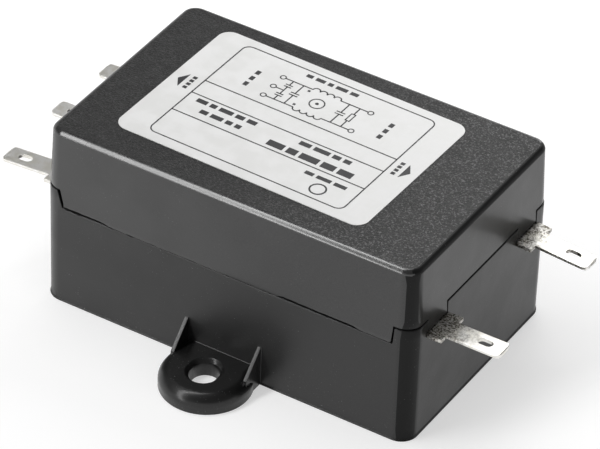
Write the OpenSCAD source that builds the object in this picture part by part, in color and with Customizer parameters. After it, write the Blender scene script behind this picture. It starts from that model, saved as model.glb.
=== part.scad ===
// Mains line filter in a two-part moulded case, two tabs at the line end and three at the load end.
// Millimetres. +X points to the line end, +Z up. The origin lies on the base plane,
// midway between the two mounting slots.

/* [Case] */
// Length of the case where its two halves meet
case_l = 52; // [51:0.5:60]
// Width of the case where its two halves meet
case_w = 32.4; // [31.5:0.1:36]
// Height of the case without its label
case_h = 25.2; // [24.5:0.1:28]
// Radius of the upright corners
corner_r = 2.3; // [2.1:0.1:2.6]
// Thickness of the upright walls
wall = 1.8; // [1.5:0.1:2]
// Thickness of the floor
floor_t = 1.8; // [1.2:0.1:2.2]
// Thickness of the roof
roof_t = 1.8; // [1.2:0.1:2.2]
// Radius of the round along the top edges
top_edge_r = 0.75; // [0.3:0.05:0.8]
// Draft of the cover's outer walls, in degrees
cover_draft = 2; // [0.4:0.1:2.2]
// Draft of the lower case's outer walls, in degrees
base_draft = 0.3; // [0.1:0.1:1]
// Height of the moulding flash round the foot of the case
flash_h = 0.25; // [0.15:0.05:0.5]
// How far that flash stands proud of the wall
flash_out = 0.1; // [0.05:0.05:0.2]

/* [Seam] */
// Height of the seam along the long sides
side_seam_z = 14.3; // [13:0.1:15.5]
// How much higher the seam runs across the two ends
end_seam_rise = 2.4; // [2:0.1:3]
// Distance from the case's ends to the foot of each seam step
seam_step_inset = 2.8; // [2.4:0.1:4]
// Lean of the step at the line end, over its height
line_step_lean = 0.2; // [0.05:0.05:0.4]
// Lean of the step at the load end, over its height
load_step_lean = 0.7; // [0.2:0.05:0.9]
// Open gap that shows as a dark line along the seam
seam_gap = 0.2; // [0.05:0.01:0.25]
// Thickness of the locating lips on the long walls
lip_t = 0.8; // [0.5:0.1:1]
// Height of the locating lips, which the cover seats on
lip_h = 1.3; // [0.8:0.1:2]
// Distance from a seam step to the end of a locating lip
lip_inset = 3.2; // [1:0.1:8]
// Side clearance of a lip in the cover's rebate
lip_clear = 0.1; // [0.05:0.01:0.2]

/* [Mounting ears] */
// Distance from the case's wall to the middle of a mounting slot
slot_from_wall = 3.95; // [3.8:0.05:6]
// Width of a mounting slot
slot_w = 3.5; // [3.2:0.1:3.9]
// Length of a mounting slot, along Y
slot_l = 4.1; // [4:0.1:4.8]
// Bevel round the top of a slot
slot_bevel = 0.45; // [0.1:0.05:0.5]
// Radius of an ear's round end
ear_r = 5.8; // [5.5:0.1:7]
// How much narrower the ear is on each side of its root
ear_waist = 0.4; // [0.1:0.05:0.5]
// Distance from a slot's middle back to the middle of its ear's round end
ear_setback = 0.4; // [0.1:0.1:1]
// Thickness of an ear
ear_t = 2.45; // [2:0.05:3.2]
// Radius of the round along an ear's rim
ear_rim_r = 1.5; // [0.5:0.1:1.6]
// Thickness of an ear's two gussets
gusset_t = 0.5; // [0.4:0.05:1.2]
// Height of the gussets above the ear, at the wall
gusset_h = 3.25; // [2:0.05:5]
// How far the gussets reach out along the ear
gusset_l = 3.1; // [2:0.1:3.3]

/* [Terminals] */
// Thickness of the terminal sheet
tab_t = 0.5; // [0.4:0.05:0.6]
// Width of a blade
blade_w = 3; // [2.5:0.1:3.4]
// Distance from the case's end to a blade's tip
blade_reach = 9.1; // [8:0.1:11]
// Radius of the corners at a blade's tip
tip_r = 0.8; // [0.3:0.05:1]
// Width of the bevels along a blade's edges
blade_bevel_w = 0.2; // [0.1:0.05:0.5]
// Depth of those bevels
blade_bevel_t = 0.08; // [0.05:0.01:0.16]
// Width of the shoulder outside the wall
shoulder_w = 5.1; // [4.9:0.1:6]
// Length of the shoulder outside the wall
shoulder_l = 2; // [1:0.1:2.6]
// Width of the wire eye in a blade
eye_w = 1.15; // [0.8:0.05:1.4]
// Length of the wire eye in a blade
eye_l = 1.95; // [1.5:0.05:2.6]
// Distance from a blade's tip to the middle of its wire eye
eye_from_tip = 2.65; // [2.2:0.05:3.2]
// Width of the neck that passes through the wall
neck_w = 4.3; // [3.6:0.1:4.5]
// Clearance on each side of the neck, and of the cover's tongue, in the wall's notch
notch_clear = 0.1; // [0.05:0.01:0.15]
// Height of the notch floors above the long sides' seam
notch_rise = 0.15; // [0:0.05:0.4]
// Free height between a terminal and the cover's tongue above it
tongue_gap = 0.2; // [0.05:0.05:0.5]
// Distance between neighbouring terminal positions
tab_pitch = 10.5; // [10:0.1:10.8]
// Distance from the inner wall to the middle of a terminal's leg
leg_inset = 1.6; // [1.3:0.1:1.8]
// Clearance between a terminal's inner shoulder and the wall
shoulder_clear = 0.05; // [0.02:0.01:0.1]
// Width of a leg inside the case
leg_w = 2.9; // [2:0.1:3.4]
// Width of the solder pin below a leg
pin_w = 1.2; // [0.8:0.1:1.6]
// Inside radius of a terminal's bend
bend_r = 0.4; // [0.2:0.1:0.5]
// Droop of the line live blade outside the wall, in degrees
line_live_droop = 0; // [0:0.5:4]
// Droop of the line neutral blade
line_neutral_droop = 4; // [0:0.5:5]
// Droop of the load live blade
load_live_droop = 4; // [0:0.5:4]
// Droop of the load earth blade
load_earth_droop = 0; // [0:0.5:4]
// Droop of the load neutral blade
load_neutral_droop = 3.5; // [0:0.5:4]

/* [Label] */
// Length of the label
label_l = 35.3; // [20:0.1:40]
// Width of the label
label_w = 24.2; // [14:0.1:26]
// Radius of the label's corners
label_r = 1.7; // [0.5:0.1:3]
// Thickness of the label
label_t = 0.12; // [0.08:0.01:0.3]
// Shift of the label towards the line end
label_x = -1.55; // [-3:0.05:1]
// Shift of the label towards the back
label_y = 0.75; // [-1:0.05:1]
// Turn of the label, in degrees
label_turn = -1.4; // [-3:0.1:3]

/* [Circuit board] */
// Thickness of the circuit board
board_t = 1.2; // [0.8:0.1:1.6]
// Free height under the board for solder and lead ends
board_lift = 2.4; // [2:0.1:3]
// Clearance between the board and the case walls
board_clear = 0.5; // [0.3:0.1:0.6]
// Radius of the posts that carry the board
post_r = 1.5; // [1.2:0.1:1.6]
// Radius of the locating pin on each post
post_pin_r = 0.6; // [0.4:0.05:0.8]
// Height of a locating pin above the board
post_pin_h = 0.6; // [0.3:0.1:1]
// Distance from the board's long edges to the middle of a post
post_inset = 1.9; // [1.8:0.1:2.1]
// Distance from the board's ends to the middle of a post
post_from_end = 4.8; // [4.4:0.1:5]
// Clearance round pins and leads in their board holes
hole_clear = 0.1; // [0.05:0.01:0.15]
// Thickness of the copper tracks
track_t = 0.1; // [0.05:0.01:0.15]
// Width of the copper tracks
track_w = 2; // [1.4:0.1:2.2]
// Radius of the solder pads
pad_r = 1.3; // [1.2:0.05:1.4]
// Height of the solder joints
solder_h = 0.8; // [0.5:0.05:1]
// Length of the lead ends below the copper
lead_tail = 1.1; // [1.05:0.05:1.5]
// Radius of the leads of capacitors and resistor
lead_r = 0.3; // [0.2:0.05:0.4]

/* [Choke] */
// Outer radius of the ferrite ring
core_outer_r = 7.5; // [7.2:0.1:7.7]
// Inner radius of the ferrite ring
core_inner_r = 4.2; // [4.1:0.1:4.8]
// Height of the ferrite ring
core_h = 6; // [4:0.1:7]
// Radius of the ring's rounded edges
core_edge_r = 0.6; // [0.3:0.1:0.9]
// Radius of the enamelled winding wire
wire_r = 0.4; // [0.3:0.02:0.42]
// Gap between the wire and the ring
wire_gap = 0.06; // [0.03:0.01:0.1]
// Turns in each winding
turns = 10; // [5:1:10]
// Angle between neighbouring turns, in degrees
turn_angle = 14; // [13.5:0.5:15]
// Thickness of the divider between the windings
divider_t = 1; // [0.6:0.1:1.4]
// Height of the divider above the ring
divider_over = 0.8; // [0.4:0.1:1.5]
// Clearance between the divider and the ring's bore
divider_clear = 0.1; // [0.05:0.01:0.2]

/* [Capacitors and resistor] */
// Length of the box capacitors
box_cap_l = 13; // [12:0.5:18]
// Thickness of the box capacitors
box_cap_t = 6; // [4:0.1:6.4]
// Height of the box capacitors
box_cap_h = 12; // [8:0.1:14]
// Lead spacing of the box capacitors
box_cap_pitch = 10; // [9.5:0.5:11]
// Diameter of the disc capacitors
disc_cap_d = 7.6; // [6.5:0.1:8.4]
// Thickness of the disc capacitors
disc_cap_t = 3; // [2:0.1:3.2]
// Radius of the rounded rims of the disc capacitors
disc_cap_rim_r = 0.8; // [0.3:0.1:0.9]
// Lead spacing of the disc capacitors
disc_cap_pitch = 5; // [4.6:0.1:5.4]
// Distance from the board's middle line to a disc capacitor
disc_cap_y = 5.6; // [5.3:0.1:6]
// Length of the resistor's body
resistor_l = 6.4; // [4:0.1:7]
// Radius of the resistor's end caps
resistor_r = 1.15; // [0.9:0.05:1.4]
// Depth of the waist between the resistor's end caps
resistor_waist = 0.15; // [0.05:0.05:0.3]
// Lead spacing of the resistor
resistor_pitch = 10; // [9.5:0.5:11]
// Gap between a component's body and the board
stand_off = 0.4; // [0.2:0.1:0.8]

/* [Hidden] */
$fn = 64;
overcut = 0.5;

// Levels and inner sizes of the case
end_seam_z = side_seam_z + end_seam_rise;
cover_shrink = (case_h - side_seam_z) * tan(cover_draft);
base_shrink = end_seam_z * tan(base_draft);
foot_l = case_l - 2 * base_shrink;
foot_w = case_w - 2 * base_shrink;
foot_r = corner_r - base_shrink;
cavity_l = case_l - 2 * wall;
cavity_w = case_w - 2 * wall;
cavity_r = 0.6;
inner_wall_x = cavity_l / 2;
seam_step_x = case_l / 2 - seam_step_inset;
lip_half_l = seam_step_x - lip_inset;
slot_spacing = case_w + 2 * slot_from_wall;
board_bottom_z = floor_t + board_lift;
board_top_z = board_bottom_z + board_t;
board_l = cavity_l - 2 * board_clear;
board_w = cavity_w - 2 * board_clear;
copper_z = board_bottom_z - track_t;
tail_z = copper_z - lead_tail;

// Levels and places of the terminals
notch_floor_z = side_seam_z + notch_rise;
tongue_z = notch_floor_z + tab_t + tongue_gap;
notch_w = neck_w + 2 * notch_clear;
leg_x = inner_wall_x - leg_inset;
LINE_TABS = [-tab_pitch, tab_pitch];
LOAD_TABS = [-tab_pitch, 0, tab_pitch];

// Levels and radii of the choke
winding_gap = wire_gap + wire_r;
core_bottom_z = board_top_z + wire_r + winding_gap;
core_top_z = core_bottom_z + core_h;
wind_outer_r = core_outer_r + winding_gap;
wind_inner_r = core_inner_r - winding_gap;
wind_bottom_z = core_bottom_z - winding_gap;
wind_top_z = core_top_z + winding_gap;
wind_bend_r = core_edge_r + winding_gap;
wind_half_angle = turns * turn_angle / 2;
WIRE_SIDES = 8;
CORNER_STEPS = 3;
LIVE_MIDDLE = -90;
NEUTRAL_MIDDLE = 90;

// Places of the small parts: at each end the free length between the choke and the
// terminals' legs is shared equally by the gaps
choke_reach = wind_outer_r + wire_r;
free_l = leg_x - tab_t / 2 - choke_reach - box_cap_t;
line_gap = (free_l - 2 * resistor_r) / 3;
load_gap = (free_l - disc_cap_t) / 3;
line_cap_x = choke_reach + line_gap + box_cap_t / 2;
load_cap_x = choke_reach + load_gap + box_cap_t / 2;
resistor_x = leg_x - tab_t / 2 - line_gap - resistor_r;
disc_cap_x = load_gap + disc_cap_t / 2 + tab_t / 2 - leg_x;
lead_bend_r = 0.8;
POST_PLACES = [
    for (sx = [-1, 1], sy = [-1, 1])
        [sx * (board_l / 2 - post_from_end), sy * (board_w / 2 - post_inset)]
];

// The choke's lead on one side (s) of the winding whose middle is at the given angle
function choke_lead(middle, s) = [
    wind_outer_r * cos(middle + s * wind_half_angle),
    wind_outer_r * sin(middle + s * wind_half_angle)
];

// Places of the leads and pins of each side: q is -1 for live and 1 for neutral
function line_pin(q) = [leg_x, q * tab_pitch];
function load_pin(q) = [-leg_x, q * tab_pitch];
function resistor_lead(q) = [resistor_x, q * resistor_pitch / 2];
function line_cap_lead(q) = [line_cap_x, q * box_cap_pitch / 2];
function load_cap_lead(q) = [-load_cap_x, q * box_cap_pitch / 2];
function disc_outer_lead(q) = [disc_cap_x, q * (disc_cap_y + disc_cap_pitch / 2)];
function disc_inner_lead(q) = [disc_cap_x, q * (disc_cap_y - disc_cap_pitch / 2)];
function choke_line_lead(q) = choke_lead(q * NEUTRAL_MIDDLE, -q);
function choke_load_lead(q) = choke_lead(q * NEUTRAL_MIDDLE, q);
SIDES = [-1, 1];
WIRE_LEADS = [for (q = SIDES) each [choke_line_lead(q), choke_load_lead(q)]];
THIN_LEADS = [
    for (q = SIDES) each [
        resistor_lead(q), line_cap_lead(q), load_cap_lead(q), disc_outer_lead(q), disc_inner_lead(q)
    ]
];
PINS = concat([for (q = SIDES) line_pin(q)], [for (q = [-1, 0, 1]) load_pin(q)]);
TRACK_RUNS = [
    for (q = SIDES) each [
        [line_pin(q), resistor_lead(q)],
        [resistor_lead(q), line_cap_lead(q)],
        [line_cap_lead(q), choke_line_lead(q)],
        [choke_load_lead(q), load_cap_lead(q)],
        [load_cap_lead(q), disc_outer_lead(q)],
        [disc_outer_lead(q), load_pin(q)],
        [disc_inner_lead(q), load_pin(0)]
    ]
];

// A rectangle with round corners, centred
module round_rect(l, w, r) {
    square([l - 2 * r, w], center = true);
    square([l, w - 2 * r], center = true);
    for (sx = SIDES, sy = SIDES)
        translate([sx * (l / 2 - r), sy * (w / 2 - r)]) circle(r);
}

// Half section of a block whose wall leans inwards by lean degrees and rounds over at the
// top. It runs from the middle out to the wall, which is at half when z is z_low.
module leaning_section(half, z_low, z_high, lean, edge_r) {
    touch_z = z_high - edge_r + edge_r * sin(lean);
    touch_x = half - (touch_z - z_low) * tan(lean);
    round_x = touch_x - edge_r * cos(lean);
    polygon([[0, z_low], [half, z_low], [touch_x, touch_z], [round_x, z_high], [0, z_high]]);
    translate([round_x, z_high - edge_r]) intersection() {
        circle(edge_r);
        polygon([
            [0, 0], 2 * edge_r * [cos(lean), sin(lean)], [2 * edge_r, 2 * edge_r], [0, 2 * edge_r]
        ]);
    }
}

// The same half section with a sharp top edge
module sharp_section(half, z_low, z_high, lean) {
    polygon([
        [0, z_low], [half, z_low], [half - (z_high - z_low) * tan(lean), z_high], [0, z_high]
    ]);
}

// Carries two half sections round a rectangle with round corners: the first child is the
// section across a long wall, the second across an end wall and the third round a corner
module round_block(l, w, r) {
    for (turn = [0, 180]) rotate([0, 0, turn]) {
        rotate([90, 0, 90]) linear_extrude(l - 2 * r, center = true) children(0);
        rotate([90, 0, 0]) linear_extrude(w - 2 * r, center = true) children(1);
    }
    for (sx = SIDES, sy = SIDES)
        translate([sx * (l / 2 - r), sy * (w / 2 - r), 0])
            rotate([0, 0, sx * sy > 0 ? 90 - 90 * sx : 180 + 90 * sx])
                rotate_extrude(angle = 90) children(2);
}

// The space above the stepped seam, seen from the side and carried across the case
module above_seam(gap, load_lean) {
    foot = seam_step_x - gap;
    rotate([90, 0, 0])
        linear_extrude(2 * case_w, center = true)
            polygon([
                [-foot, side_seam_z + gap], [foot, side_seam_z + gap],
                [foot + line_step_lean, end_seam_z + gap], [case_l, end_seam_z + gap],
                [case_l, 2 * case_h], [-case_l, 2 * case_h],
                [-case_l, end_seam_z + gap], [-foot - load_lean, end_seam_z + gap]
            ]);
}

// One open-topped notch in the end wall at +X
module end_notch() {
    translate([inner_wall_x - overcut, -notch_w / 2, notch_floor_z])
        cube([wall + 2 * overcut, notch_w, case_h]);
}

// The room for one tongue of the cover at +X, which closes a notch down to its terminal
module tongue_room() {
    translate([inner_wall_x - wall, -neck_w / 2, tongue_z])
        cube([3 * wall, neck_w, case_h - side_seam_z]);
}

// Places its children at every terminal position, turned to face outwards
module at_tabs() {
    for (y = LINE_TABS) translate([0, y, 0]) children();
    for (y = LOAD_TABS) translate([0, y, 0]) rotate([0, 0, 180]) children();
}

// The hole of a mounting slot, with its bevelled mouth
module mounting_slot() {
    r = slot_w / 2;
    half = (slot_l - slot_w) / 2;
    mouth_r = r + 2 * slot_bevel;
    low_z = ear_t - slot_bevel;
    for (s = SIDES) translate([0, s * half, 0]) {
        translate([0, 0, -overcut]) cylinder(r = r, h = ear_t + 2 * overcut);
        translate([0, 0, low_z]) cylinder(r1 = r, r2 = mouth_r, h = 2 * slot_bevel);
    }
    rotate([90, 0, 0]) linear_extrude(2 * half, center = true)
        polygon([
            [-r, -overcut], [r, -overcut], [r, low_z], [mouth_r, ear_t + slot_bevel],
            [-mouth_r, ear_t + slot_bevel], [-r, low_z]
        ]);
}

// One mounting ear at the +Y side: a round-ended tongue with a rolled rim and two gussets
module mounting_ear() {
    root_y = (case_w - wall) / 2;
    root_half = ear_r - ear_waist;
    slot_y = slot_spacing / 2;
    sweep = 240;
    for (turn = [0, 180])
        translate([0, (root_y + slot_y) / 2, 0]) rotate([0, 0, turn]) rotate([90, 0, 0])
            linear_extrude(slot_y - root_y, center = true)
                leaning_section(root_half, 0, ear_t, 0, ear_rim_r);
    translate([0, slot_y - ear_setback, 0]) rotate([0, 0, 90 - sweep / 2])
        rotate_extrude(angle = sweep) leaning_section(ear_r, 0, ear_t, 0, ear_rim_r);
    for (s = SIDES) translate([s * (root_half - gusset_t / 2), 0, 0])
        rotate([90, 0, 90]) linear_extrude(gusset_t, center = true)
            polygon([
                [root_y, 0], [case_w / 2 + gusset_l, 0], [case_w / 2 + gusset_l, ear_t],
                [case_w / 2, ear_t + gusset_h], [root_y, ear_t + gusset_h]
            ]);
}

// Lower half: drafted tub with raised ends, locating lips, notches, posts and two ears
module lower_case() {
    color("#2b2b2d")
    difference() {
        union() {
            difference() {
                round_block(foot_l, foot_w, foot_r) {
                    sharp_section(foot_w / 2, 0, end_seam_z, -base_draft);
                    sharp_section(foot_l / 2, 0, end_seam_z, -base_draft);
                    sharp_section(foot_r, 0, end_seam_z, -base_draft);
                }
                translate([0, 0, floor_t])
                    linear_extrude(case_h) round_rect(cavity_l, cavity_w, cavity_r);
                above_seam(0, load_step_lean);
                at_tabs() end_notch();
            }
            linear_extrude(flash_h)
                round_rect(foot_l + 2 * flash_out, foot_w + 2 * flash_out, foot_r + flash_out);
            for (s = SIDES)
                translate([0, s * (cavity_w + lip_t) / 2, side_seam_z])
                    cube([2 * lip_half_l, lip_t, 2 * lip_h], center = true);
            for (p = POST_PLACES) translate([p.x, p.y, floor_t / 2]) {
                cylinder(r = post_r, h = board_bottom_z - floor_t / 2);
                cylinder(r = post_pin_r, h = board_top_z + post_pin_h - floor_t / 2);
            }
            for (turn = [0, 180]) rotate([0, 0, turn]) mounting_ear();
        }
        for (s = SIDES) translate([0, s * slot_spacing / 2, 0]) mounting_slot();
    }
}

// Upper half: drafted lid with a rounded top edge, stepped skirt, rebates and tongues
module upper_cover() {
    low_z = side_seam_z + seam_gap;
    rebate_w = lip_t + lip_clear + cover_shrink;
    rebate_y = cavity_w / 2 + lip_t + lip_clear - rebate_w / 2;
    color("#303032")
    difference() {
        intersection() {
            round_block(case_l, case_w, corner_r) {
                leaning_section(case_w / 2, low_z, case_h, cover_draft, top_edge_r);
                leaning_section(case_l / 2, low_z, case_h, cover_draft, top_edge_r);
                leaning_section(corner_r, low_z, case_h, cover_draft, top_edge_r);
            }
            union() {
                above_seam(seam_gap, line_step_lean);
                at_tabs() tongue_room();
            }
        }
        translate([0, 0, -roof_t])
            linear_extrude(case_h)
                round_rect(cavity_l - 2 * cover_shrink, cavity_w - 2 * cover_shrink, cavity_r);
        for (s = SIDES)
            translate([0, s * rebate_y, side_seam_z])
                cube([2 * (lip_half_l + lip_clear), rebate_w, 2 * lip_h], center = true);
    }
}

// Printed foil label on the cover
module label() {
    color("#e6e6e4")
    translate([label_x, label_y, case_h])
        rotate([0, 0, label_turn])
            linear_extrude(label_t) round_rect(label_l, label_w, label_r);
}

// Plan of a blade from the shoulder's root to the rounded tip
module blade_plan() {
    difference() {
        union() {
            translate([0, -blade_w / 2]) square([blade_reach - tip_r, blade_w]);
            translate([0, tip_r - blade_w / 2]) square([blade_reach, blade_w - 2 * tip_r]);
            for (s = SIDES)
                translate([blade_reach - tip_r, s * (blade_w / 2 - tip_r)]) circle(tip_r);
        }
        translate([blade_reach - eye_from_tip, 0]) {
            square([eye_l - eye_w, eye_w], center = true);
            for (s = SIDES) translate([s * (eye_l - eye_w) / 2, 0]) circle(eye_w / 2);
        }
    }
}

// A blade with its shoulder: the plan cut by a bevelled cross-section and a bevelled tip
module bevelled_blade() {
    half = blade_w / 2;
    flat = half - blade_bevel_w;
    high_t = tab_t - blade_bevel_t;
    intersection() {
        linear_extrude(tab_t) blade_plan();
        rotate([90, 0, 90]) linear_extrude(blade_reach)
            polygon([
                [-half, blade_bevel_t], [-flat, 0], [flat, 0], [half, blade_bevel_t],
                [half, high_t], [flat, tab_t], [-flat, tab_t], [-half, high_t]
            ]);
        rotate([90, 0, 0]) linear_extrude(2 * blade_w, center = true)
            polygon([
                [0, 0], [blade_reach - blade_bevel_w, 0], [blade_reach, blade_bevel_t],
                [blade_reach, high_t], [blade_reach - blade_bevel_w, tab_t], [0, tab_t]
            ]);
    }
    translate([0, -shoulder_w / 2, 0]) cube([shoulder_l, shoulder_w, tab_t]);
}

// One terminal facing +X, stamped from one sheet: blade, neck, inner shoulder, bend, leg
// and solder pin. The blade droops about the edge of the notch's floor.
module terminal(droop) {
    bend_x = leg_x + tab_t / 2 + bend_r;
    bend_z = notch_floor_z - bend_r;
    down = shoulder_l / 2 * [cos(droop), -sin(droop)];
    color("#c9c8bf")
    union() {
        translate([case_l / 2, 0, notch_floor_z]) rotate([0, droop, 0]) bevelled_blade();
        translate([case_l / 2, 0, notch_floor_z]) rotate([90, 0, 0])
            linear_extrude(neck_w, center = true)
                polygon([
                    [bend_x - case_l / 2, 0], [0, 0], down, down + tab_t * [sin(droop), cos(droop)],
                    [tab_t * tan(droop / 2), tab_t], [bend_x - case_l / 2, tab_t]
                ]);
        translate([bend_x, -shoulder_w / 2, notch_floor_z])
            cube([inner_wall_x - shoulder_clear - bend_x, shoulder_w, tab_t]);
        translate([bend_x, leg_w / 2, bend_z])
            rotate([90, 0, 0]) rotate([0, 0, 90])
                rotate_extrude(angle = 90) translate([bend_r, 0]) square([tab_t, leg_w]);
        translate([leg_x - tab_t / 2, -leg_w / 2, board_top_z])
            cube([tab_t, leg_w, bend_z - board_top_z]);
        translate([leg_x - tab_t / 2, -pin_w / 2, tail_z])
            cube([tab_t, pin_w, board_top_z + overcut - tail_z]);
    }
}

// Line live tab, front of the line end
module line_live_terminal() {
    translate([0, -tab_pitch, 0]) terminal(line_live_droop);
}

// Line neutral tab, back of the line end
module line_neutral_terminal() {
    translate([0, tab_pitch, 0]) terminal(line_neutral_droop);
}

// Load live tab, front of the load end
module load_live_terminal() {
    translate([0, -tab_pitch, 0]) rotate([0, 0, 180]) terminal(load_live_droop);
}

// Load earth tab, middle of the load end
module load_earth_terminal() {
    rotate([0, 0, 180]) terminal(load_earth_droop);
}

// Load neutral tab, back of the load end
module load_neutral_terminal() {
    translate([0, tab_pitch, 0]) rotate([0, 0, 180]) terminal(load_neutral_droop);
}

// Plan of every lead hole and pin slot
module lead_holes() {
    for (p = WIRE_LEADS) translate(p) circle(wire_r + hole_clear);
    for (p = THIN_LEADS) translate(p) circle(lead_r + hole_clear);
    for (p = PINS)
        translate(p) square([tab_t + 2 * hole_clear, pin_w + 2 * hole_clear], center = true);
}

// Circuit board on its four posts
module circuit_board() {
    color("#b9a46a")
    translate([0, 0, board_bottom_z]) linear_extrude(board_t)
        difference() {
            square([board_l, board_w], center = true);
            lead_holes();
            for (p = POST_PLACES) translate(p) circle(post_pin_r + hole_clear);
        }
}

// Copper tracks and pads on the underside of the board
module copper_tracks() {
    color("#b8693a")
    translate([0, 0, copper_z]) linear_extrude(track_t)
        difference() {
            union() {
                for (run = TRACK_RUNS) {
                    way = run[1] - run[0];
                    translate((run[0] + run[1]) / 2)
                        rotate(atan2(way.y, way.x)) square([norm(way), track_w], center = true);
                }
                for (p = concat(WIRE_LEADS, THIN_LEADS, PINS)) translate(p) circle(pad_r);
            }
            lead_holes();
        }
}

// One cone of solder under a pad, round a lead of radius r
module solder_cone(r) {
    foot_r = pad_r - hole_clear;
    rotate_extrude()
        polygon([[r, 0], [foot_r, 0], [r + hole_clear, -solder_h], [r, -solder_h]]);
}

// One cone of solder round a terminal's flat pin
module pin_solder() {
    difference() {
        translate([0, 0, -solder_h])
            cylinder(r1 = pin_w / 2 + hole_clear, r2 = pad_r - hole_clear, h = solder_h);
        cube([tab_t, pin_w, 2 * solder_h + 2 * overcut], center = true);
    }
}

// Solder joints under the board
module solder_joints() {
    color("#c4c6c8")
    translate([0, 0, copper_z]) {
        for (p = WIRE_LEADS) translate(p) solder_cone(wire_r);
        for (p = THIN_LEADS) translate(p) solder_cone(lead_r);
        for (p = PINS) translate(p) pin_solder();
    }
}

// Ferrite ring with rounded edges
module choke_core() {
    depth = core_outer_r - core_inner_r;
    color("#3a3d3f")
    translate([0, 0, core_bottom_z + core_h / 2])
        rotate_extrude()
            translate([core_inner_r + depth / 2, 0]) round_rect(depth, core_h, core_edge_r);
}

// Insulating divider: a web through the ring's bore with bars above and below the ring
module choke_divider() {
    web_half = sqrt(core_inner_r ^ 2 - divider_t ^ 2 / 4) - divider_clear;
    bar_half = core_outer_r - core_edge_r;
    color("#d9d2bd")
    union() {
        translate([-web_half, -divider_t / 2, board_top_z])
            cube([2 * web_half, divider_t, core_top_z + divider_over - board_top_z]);
        translate([-bar_half, -divider_t / 2, board_top_z])
            cube([2 * bar_half, divider_t, core_bottom_z - board_top_z]);
        translate([-bar_half, -divider_t / 2, core_top_z])
            cube([2 * bar_half, divider_t, divider_over]);
    }
}

// One loop of wire round the ring's section, as [radius, height] stations that start at
// the outer top corner. The last corner turns down towards the board when last is true.
function loop_stations(last) = [
    for (corner = [0:3], step = [0:CORNER_STEPS])
        let (
            a = 90 * corner + 90 * step / CORNER_STEPS,
            outer = corner == 0 || corner == 3,
            mid_r = outer ? wind_outer_r - wind_bend_r : wind_inner_r + wind_bend_r,
            mid_z = corner < 2 ? wind_top_z - wind_bend_r : wind_bottom_z + wind_bend_r
        )
        last && corner == 3
            ? [
                wind_outer_r - wire_r + wire_r * sin(90 * step / CORNER_STEPS),
                wind_bottom_z - wire_r + wire_r * cos(90 * step / CORNER_STEPS)
            ]
            : [mid_r + wind_bend_r * cos(a), mid_z + wind_bend_r * sin(a)]
];

// The whole run of one winding, as points in space
function winding_path(middle) =
    let (
        per_turn = 4 * (CORNER_STEPS + 1),
        first = middle - wind_half_angle,
        end = middle + wind_half_angle,
        total = turns * per_turn - 1,
        loops = [for (n = [1:turns]) each loop_stations(n == turns)]
    )
    concat(
        [[wind_outer_r * cos(first), wind_outer_r * sin(first), tail_z]],
        [
            for (i = [0:total])
                let (a = first + (end - first) * i / total, p = loops[i])
                [p[0] * cos(a), p[0] * sin(a), p[1]]
        ],
        [[wind_outer_r * cos(end), wind_outer_r * sin(end), tail_z]]
    );

// A vector of length one
function unit(v) = v / norm(v);

// A ring of points round p, square to the tangent t and lined up with the way round the axis
function wire_ring(p, t) =
    let (
        around = unit([-p.y, p.x, 0]),
        side = unit(around - (around * t) * t),
        rise = cross(t, side)
    )
    [
        for (k = [0:WIRE_SIDES - 1])
            let (a = 360 * k / WIRE_SIDES)
            p + wire_r * (cos(a) * side + sin(a) * rise)
    ];

// Round wire carried along a path
module wire(path) {
    last = len(path) - 1;
    tangents = [
        for (i = [0:last]) unit(path[min(i + 1, last)] - path[max(i - 1, 0)])
    ];
    points = [
        for (i = [0:last]) each wire_ring(path[i], tangents[i])
    ];
    sides = [
        for (i = [0:last - 1], k = [0:WIRE_SIDES - 1])
            let (
                a = i * WIRE_SIDES + k,
                b = i * WIRE_SIDES + (k + 1) % WIRE_SIDES
            )
            each [[a, b, b + WIRE_SIDES], [a, b + WIRE_SIDES, a + WIRE_SIDES]]
    ];
    start_cap = [[for (k = [WIRE_SIDES - 1:-1:0]) k]];
    end_cap = [[for (k = [0:WIRE_SIDES - 1]) last * WIRE_SIDES + k]];
    polyhedron(points = points, faces = concat(sides, start_cap, end_cap));
}

// Winding on the live side
module live_winding() {
    color("#8a4a1f") wire(winding_path(LIVE_MIDDLE));
}

// Winding on the neutral side
module neutral_winding() {
    color("#8a4a1f") wire(winding_path(NEUTRAL_MIDDLE));
}

// Box capacitor across the board, with two feet and two leads
module box_capacitor() {
    edge_r = 0.4;
    foot_w = 1;
    bottom_z = board_top_z + stand_off;
    translate([0, 0, bottom_z])
        linear_extrude(box_cap_h) round_rect(box_cap_t, box_cap_l, edge_r);
    for (q = SIDES) {
        translate([0, q * (box_cap_l / 2 - edge_r - foot_w / 2), board_top_z + stand_off])
            cube([box_cap_t - 2 * edge_r, foot_w, 2 * stand_off], center = true);
        translate([0, q * box_cap_pitch / 2, tail_z])
            cylinder(r = lead_r, h = bottom_z + overcut - tail_z);
    }
}

// Suppression capacitor between the line tabs
module line_x_capacitor() {
    color("#c9b24a") translate([line_cap_x, 0, 0]) box_capacitor();
}

// Suppression capacitor between the load tabs
module load_x_capacitor() {
    color("#c9b24a") translate([-load_cap_x, 0, 0]) box_capacitor();
}

// Disc capacitor standing across the board on its two leads
module disc_capacitor() {
    middle_z = board_top_z + stand_off + disc_cap_d / 2;
    translate([0, 0, middle_z]) rotate([0, 90, 0])
        rotate_extrude() intersection() {
            round_rect(disc_cap_d, disc_cap_t, disc_cap_rim_r);
            translate([0, -disc_cap_t]) square([disc_cap_d, 2 * disc_cap_t]);
        }
    for (s = SIDES) translate([0, s * disc_cap_pitch / 2, tail_z])
        cylinder(r = lead_r, h = middle_z - tail_z);
}

// Capacitor from the live side to earth
module live_y_capacitor() {
    color("#2f5fa8") translate([disc_cap_x, -disc_cap_y, 0]) disc_capacitor();
}

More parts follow.
